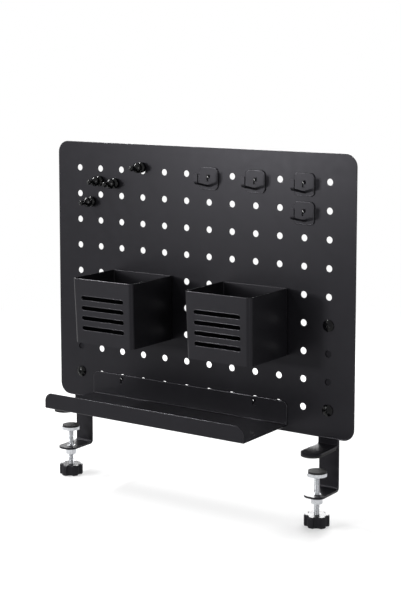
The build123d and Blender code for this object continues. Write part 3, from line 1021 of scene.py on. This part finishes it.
def pale_floor():
    """Grey that takes a shadow, lifted where it is seen, and fading to white away from the object."""
    shade, lift, roughness = 0.5, 0.42, 0.9
    shadow_reach, fade_reach = 0.7, 1.6
    material = bpy.data.materials.new("pale_floor")
    material.use_nodes = True
    nodes, links = material.node_tree.nodes, material.node_tree.links
    seen = seen_directly(nodes, links)
    shader = nodes["Principled BSDF"]
    shader.inputs["Base Color"].default_value = (shade, shade, shade, 1)
    shader.inputs["Roughness"].default_value = roughness
    shader.inputs["Specular IOR Level"].default_value = 0.0
    glow = nodes.new("ShaderNodeEmission")
    glow.inputs["Color"].default_value = (lift, lift, lift, 1)
    links.new(seen, glow.inputs["Strength"])
    near = nodes.new("ShaderNodeAddShader")
    links.new(shader.outputs["BSDF"], near.inputs[0])
    links.new(glow.outputs["Emission"], near.inputs[1])
    white = nodes.new("ShaderNodeEmission")
    distance = nodes.new("ShaderNodeVectorMath")
    distance.operation = "LENGTH"
    links.new(nodes.new("ShaderNodeTexCoord").outputs["Object"], distance.inputs[0])
    fade = nodes.new("ShaderNodeMapRange")
    fade.interpolation_type = "SMOOTHSTEP"
    fade.inputs["From Min"].default_value = shadow_reach
    fade.inputs["From Max"].default_value = fade_reach
    links.new(distance.outputs["Value"], fade.inputs["Value"])
    far = nodes.new("ShaderNodeMath")
    far.operation = "MULTIPLY"
    links.new(fade.outputs["Result"], far.inputs[0])
    links.new(seen, far.inputs[1])
    mix = nodes.new("ShaderNodeMixShader")
    links.new(far.outputs["Value"], mix.inputs["Fac"])
    links.new(near.outputs["Shader"], mix.inputs[1])
    links.new(white.outputs["Emission"], mix.inputs[2])
    links.new(mix.outputs["Shader"], nodes["Material Output"].inputs["Surface"])
    return material


def make_backdrop(scene):
    """White where it is seen, and softer where it lights the object."""
    lighting, seen = 0.35, 1.0
    world = bpy.data.worlds.new("backdrop")
    scene.world = world
    world.use_nodes = True
    nodes, links = world.node_tree.nodes, world.node_tree.links
    background = nodes["Background"]
    background.inputs["Color"].default_value = (1, 1, 1, 1)
    strength = nodes.new("ShaderNodeMapRange")
    strength.inputs["To Min"].default_value = lighting
    strength.inputs["To Max"].default_value = seen
    links.new(seen_directly(nodes, links), strength.inputs["Value"])
    links.new(strength.outputs["Result"], background.inputs["Strength"])


LAMPS = (
    # name, place, aim, width and height, radiance
    ("softbox_front_left", (-1.5, -1.95, 1.05), (0, 0, 0.3), (1.0, 0.7), 8),
    ("spot_front_left", (-1.0, -1.9, 0.42), (0, 0, 0.3), (0.25, 0.2), 110),
    ("strip_overhead_left", (-1.2, -0.3, 1.8), (-0.05, 0, 0.2), (1.6, 0.12), 80),
    ("softbox_right", (1.25, -0.85, 0.42), (0.1, 0, 0.3), (0.3, 0.9), 6),
    ("strip_back", (0.5, 1.9, 1.4), (0, 0, 0.2), (1.2, 0.2), 30),
    ("softbox_back", (-0.9, 2.0, 0.8), (0, 0, 0.2), (1.4, 0.8), 14),
)


def make_lamp(name, place, aim, size, radiance):
    """A rectangular lamp as bright as its radiance says, which the camera doesn't see itself."""
    lamp = bpy.data.lights.new(name, "AREA")
    lamp.shape = "RECTANGLE"
    lamp.size, lamp.size_y = size
    lamp.energy = radiance * math.pi * size[0] * size[1]
    holder = bpy.data.objects.new(name, lamp)
    holder.location = place
    holder.rotation_euler = (Vector(aim) - Vector(place)).to_track_quat("-Z", "Y").to_euler()
    holder.visible_camera = False
    bpy.context.scene.collection.objects.link(holder)


def make_camera(scene, stage):
    """Camera that looks ahead, turned to the left and down by the settings' angles."""
    camera = bpy.data.cameras.new("camera")
    camera.sensor_fit = "VERTICAL"
    camera.sensor_height = stage.sensor
    camera.lens = stage.lens
    camera.shift_y = stage.shift
    holder = bpy.data.objects.new("camera", camera)
    holder.location = stage.camera_place
    turn, level = stage.camera_azimuth, math.cos(stage.camera_fall)
    look = Vector((-math.sin(turn) * level, math.cos(turn) * level, -math.sin(stage.camera_fall)))
    holder.rotation_euler = look.to_track_quat("-Z", "Y").to_euler()
    scene.collection.objects.link(holder)
    scene.camera = holder


# ---------------------------------------------------------------- panel
class PEG_PT_panel(bpy.types.Panel):
    """Lists the settings and the steps that dress the organizer"""

    bl_label = "Pegboard organizer"
    bl_idname = "PEG_PT_panel"
    bl_space_type = "VIEW_3D"
    bl_region_type = "UI"
    bl_category = "Pegboard"

    def draw(self, context):
        for operator in OPERATORS:
            self.layout.operator(operator.bl_idname)
        for name, group in GROUPS.items():
            box = self.layout.box()
            for key in group.__annotations__:
                box.prop(getattr(context.scene, name), key)


OPERATORS = (
    PEG_OT_finishes,
    PEG_OT_hole_beads,
    PEG_OT_sheet_edges,
    PEG_OT_cup_edges,
    PEG_OT_hook_welds,
    PEG_OT_clamp_screws,
    PEG_OT_nuts,
    PEG_OT_stage,
)
CLASSES = (*GROUPS.values(), *OPERATORS, PEG_PT_panel)


def register():
    for item in CLASSES:
        bpy.utils.register_class(item)
    for name, group in GROUPS.items():
        setattr(bpy.types.Scene, name, bpy.props.PointerProperty(type=group))


def unregister():
    for name in GROUPS:
        delattr(bpy.types.Scene, name)
    for item in reversed(CLASSES):
        bpy.utils.unregister_class(item)


def main():
    register()
    bpy.ops.pegboard.stage()
    bpy.ops.pegboard.finishes()
    bpy.ops.pegboard.hole_beads()
    bpy.ops.pegboard.sheet_edges()
    bpy.ops.pegboard.cup_edges()
    bpy.ops.pegboard.hook_welds()
    bpy.ops.pegboard.clamp_screws()
    bpy.ops.pegboard.nuts()


if __name__ == "__main__":
    main()
